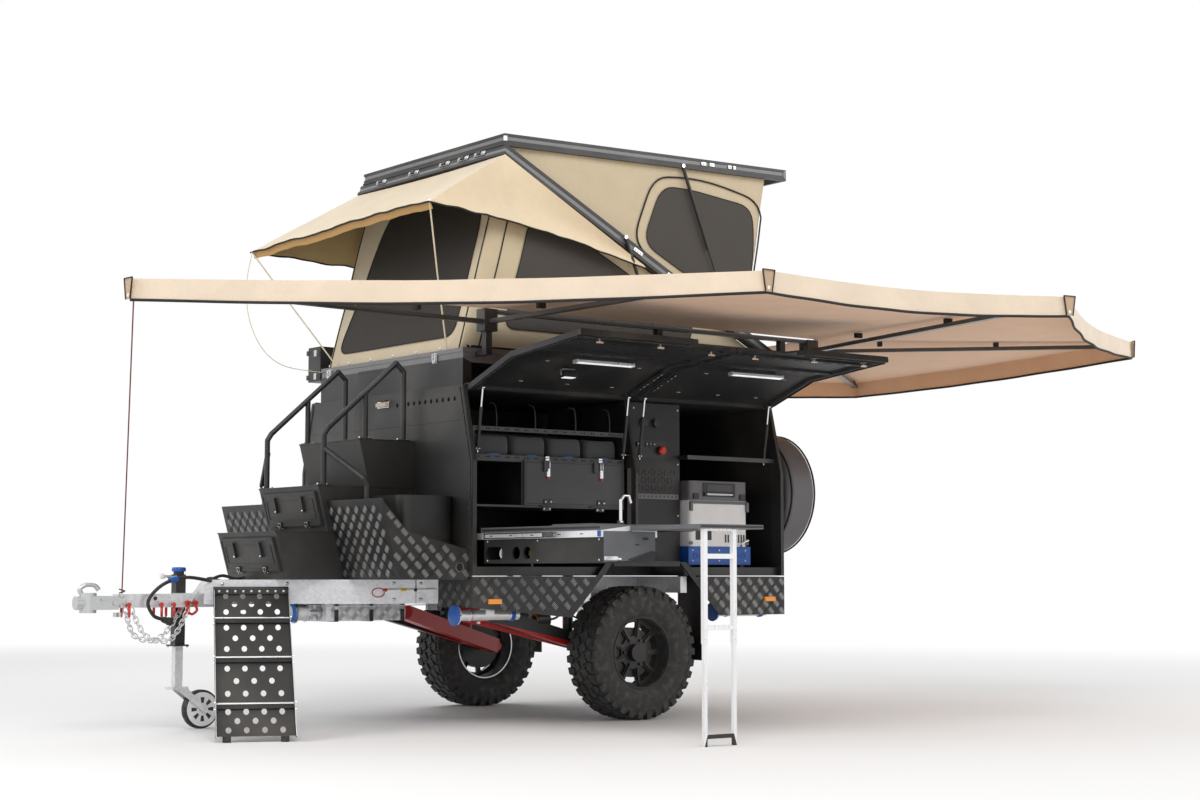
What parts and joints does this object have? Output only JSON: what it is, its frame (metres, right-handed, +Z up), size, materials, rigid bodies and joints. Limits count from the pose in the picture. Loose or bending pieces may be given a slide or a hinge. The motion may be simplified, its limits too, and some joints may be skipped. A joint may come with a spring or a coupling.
{
  "type": "off-road camper trailer",
  "caption": "Two-wheel off-road camper trailer with gull-wing side doors, pull-out kitchen, front step boxes, fold-up roof tent and fan awning, shown set up.",
  "frame": {"origin": "centre of the tow coupling's vertical pin bore", "axes": "+X forward out of the coupling, +Y to the kitchen side (left when facing forward), +Z up"},
  "size_m": [6.77, 4.737, 3.5527],
  "materials": {
    "galvanised_steel": "satin",
    "cast_coupling": "satin",
    "black_paint": "textured satin",
    "black_plate": "chequer plate, satin",
    "red_paint": "gloss",
    "rubber_tread": "matt",
    "rim_black": "gloss",
    "jockey_rubber": "matt",
    "frame_grey": "satin",
    "strut_black": "gloss",
    "bright_steel": "polished",
    "white_alloy": "satin",
    "grey_plastic": "matt",
    "white_plastic": "satin",
    "canvas_tan": "woven",
    "awning_tan": "woven",
    "bag_fabric": "woven",
    "cover_vinyl": "smooth",
    "lamp_amber": "gloss",
    "leg_blue": "satin"
  },
  "bodies": {
    "chassis": {"chassis_frame": "galvanised_steel", "tow_coupling": "cast_coupling", "jack_post": "galvanised_steel", "safety_chains": "galvanised_steel", "suspension_arms": "red_paint", "body_shell": "black_paint", "side_skirts": "black_plate", "stair_boxes": "black_paint", "front_tray": "black_plate", "handrails": "strut_black", "stabiliser_legs": "leg_blue", "spare_wheel": "cover_vinyl", "marker_lamps": "lamp_amber", "locker_unit": "black_paint", "storage_bags": "bag_fabric", "table_leg": "white_alloy", "tent_base": "frame_grey", "tent_lower_fabric": "canvas_tan", "awning_arms": "frame_grey", "awning_canopy": "awning_tan"},
    "wheel_left": {"tyre_left": "rubber_tread", "rim_left": "rim_black"},
    "wheel_right": {"tyre_right": "rubber_tread", "rim_right": "rim_black"},
    "caster": {"jack_caster": "galvanised_steel"},
    "jockey_wheel": {"jack_wheel": "jockey_rubber"},
    "front_left_door": {"door_front_left": "black_paint"},
    "rear_left_door": {"door_rear_left": "black_paint"},
    "front_right_door": {"door_front_right": "black_paint"},
    "rear_right_door": {"door_rear_right": "black_paint"},
    "front_tubes": {"front_strut_tubes": "strut_black"},
    "front_rods": {"front_strut_rods": "bright_steel"},
    "rear_tubes": {"rear_strut_tubes": "strut_black"},
    "rear_rods": {"rear_strut_rods": "bright_steel"},
    "lower_lid": {"stair_lid_lower": "black_paint"},
    "middle_lid": {"stair_lid_middle": "black_paint"},
    "entry_flight": {"entry_step": "black_paint"},
    "flap": {"locker_flap": "black_paint"},
    "kitchen": {"kitchen_slide": "frame_grey"},
    "tap": {"kitchen_tap": "bright_steel"},
    "leaf": {"bench_leaf": "white_alloy"},
    "fridge": {"fridge_box": "white_plastic"},
    "fridge_top": {"fridge_lid": "grey_plastic"},
    "middle_frame": {"tent_frame": "frame_grey", "tent_fly": "canvas_tan"},
    "roof_lid": {"tent_roof": "black_paint", "tent_upper_fabric": "canvas_tan"}
  },
  "joints": [
    {"name": "left_wheel_spin", "type": "hinge", "parent": "chassis", "child": "wheel_left", "pos_m": [-3.15, 0.8325, -0.317], "axis": [0, 1, 0], "continuous": true},
    {"name": "right_wheel_spin", "type": "hinge", "parent": "chassis", "child": "wheel_right", "pos_m": [-3.15, -0.8325, -0.317], "axis": [0, 1, 0], "continuous": true},
    {"name": "caster_swivel", "type": "hinge", "parent": "chassis", "child": "caster", "pos_m": [-0.585, -0.092, -0.485], "axis": [0, 0, 1], "continuous": true},
    {"name": "jockey_wheel_spin", "type": "hinge", "parent": "caster", "child": "jockey_wheel", "pos_m": [-0.733, -0.092, -0.609], "axis": [0, 1, 0], "continuous": true},
    {"name": "front_left_door_hinge", "type": "hinge", "parent": "chassis", "child": "front_left_door", "pos_m": [-2.55, 0.865, 1.248], "axis": [1, 0, 0], "range_deg": [-96, 0]},
    {"name": "rear_left_door_hinge", "type": "hinge", "parent": "chassis", "child": "rear_left_door", "pos_m": [-3.75, 0.865, 1.248], "axis": [1, 0, 0], "range_deg": [-96, 0]},
    {"name": "front_right_door_hinge", "type": "hinge", "parent": "chassis", "child": "front_right_door", "pos_m": [-2.55, -0.865, 1.248], "axis": [-1, 0, 0], "range_deg": [0, 96]},
    {"name": "rear_right_door_hinge", "type": "hinge", "parent": "chassis", "child": "rear_right_door", "pos_m": [-3.75, -0.865, 1.248], "axis": [-1, 0, 0], "range_deg": [0, 96]},
    {"name": "front_strut_swing", "type": "hinge", "parent": "chassis", "child": "front_tubes", "pos_m": [-2.55, 0.885, 0.881], "axis": [1, 0, 0], "range_deg": [0, 17.18]},
    {"name": "front_strut_stroke", "type": "slide", "parent": "front_tubes", "child": "front_rods", "axis": [0, 0.1482, 0.989], "range_m": [-0.05289, 0]},
    {"name": "rear_strut_swing", "type": "hinge", "parent": "chassis", "child": "rear_tubes", "pos_m": [-3.75, 0.885, 0.881], "axis": [1, 0, 0], "range_deg": [0, 17.18]},
    {"name": "rear_strut_stroke", "type": "slide", "parent": "rear_tubes", "child": "rear_rods", "axis": [0, 0.1482, 0.989], "range_m": [-0.05289, 0]},
    {"name": "lower_lid_hinge", "type": "hinge", "parent": "chassis", "child": "lower_lid", "pos_m": [-1.01813, 0, 0.17037], "axis": [0, 1, 0], "range_deg": [0, 74]},
    {"name": "middle_lid_hinge", "type": "hinge", "parent": "chassis", "child": "middle_lid", "pos_m": [-1.28586, 0, 0.43217], "axis": [0, 1, 0], "range_deg": [0, 74]},
    {"name": "entry_step_hinge", "type": "hinge", "parent": "chassis", "child": "entry_flight", "pos_m": [-0.908, 0.16551, 0.071], "axis": [0.9005, -0.4349, 0], "range_deg": [0, 42]},
    {"name": "locker_flap_hinge", "type": "hinge", "parent": "chassis", "child": "flap", "pos_m": [-2.7, 0.864, 0.561], "axis": [-1, 0, 0], "range_deg": [0, 88]},
    {"name": "kitchen_runner", "type": "slide", "parent": "chassis", "child": "kitchen", "axis": [0, 1, 0], "range_m": [-1.215, 0]},
    {"name": "leaf_runner", "type": "slide", "parent": "kitchen", "child": "leaf", "axis": [0, 1, 0], "range_m": [-0.56, 0]},
    {"name": "tap_fold", "type": "hinge", "parent": "kitchen", "child": "tap", "pos_m": [-2.215, 1.9, 0.4383], "axis": [1, 0, 0], "range_deg": [-84, 0]},
    {"name": "fridge_runner", "type": "slide", "parent": "chassis", "child": "fridge", "axis": [0, 1, 0], "range_m": [0, 0.525]},
    {"name": "fridge_lid_hinge", "type": "hinge", "parent": "fridge", "child": "fridge_top", "pos_m": [-4.058, 0.645, 0.6253], "axis": [0, -1, 0], "range_deg": [0, 75]},
    {"name": "tent_frame_fold", "type": "hinge", "parent": "chassis", "child": "middle_frame", "pos_m": [-4.485, 0, 1.504], "axis": [0, -1, 0], "range_deg": [-27, 0], "deforming": ["tent_lower_fabric", "tent_fly"]},
    {"name": "tent_roof_fold", "type": "hinge", "parent": "middle_frame", "child": "roof_lid", "pos_m": [-2.214, 0, 2.70782], "axis": [0, 1, 0], "range_deg": [-28.5, 0], "deforming": ["tent_upper_fabric"]}
  ],
  "couplings": [
    {"joint": "front_strut_swing", "follows": "front_left_door_hinge", "ratio": -0.17892},
    {"joint": "front_strut_stroke", "follows": "front_left_door_hinge", "m_per_rad": 0.03156},
    {"joint": "rear_strut_swing", "follows": "rear_left_door_hinge", "ratio": -0.17892},
    {"joint": "rear_strut_stroke", "follows": "rear_left_door_hinge", "m_per_rad": 0.03156},
    {"joint": "kitchen_runner", "follows": "front_left_door_hinge", "m_per_rad": 0.72508},
    {"joint": "leaf_runner", "follows": "front_left_door_hinge", "m_per_rad": 0.33419},
    {"joint": "tap_fold", "follows": "front_left_door_hinge", "ratio": 0.87491},
    {"joint": "tent_roof_fold", "follows": "tent_frame_fold", "ratio": 1.0554}
  ]
}
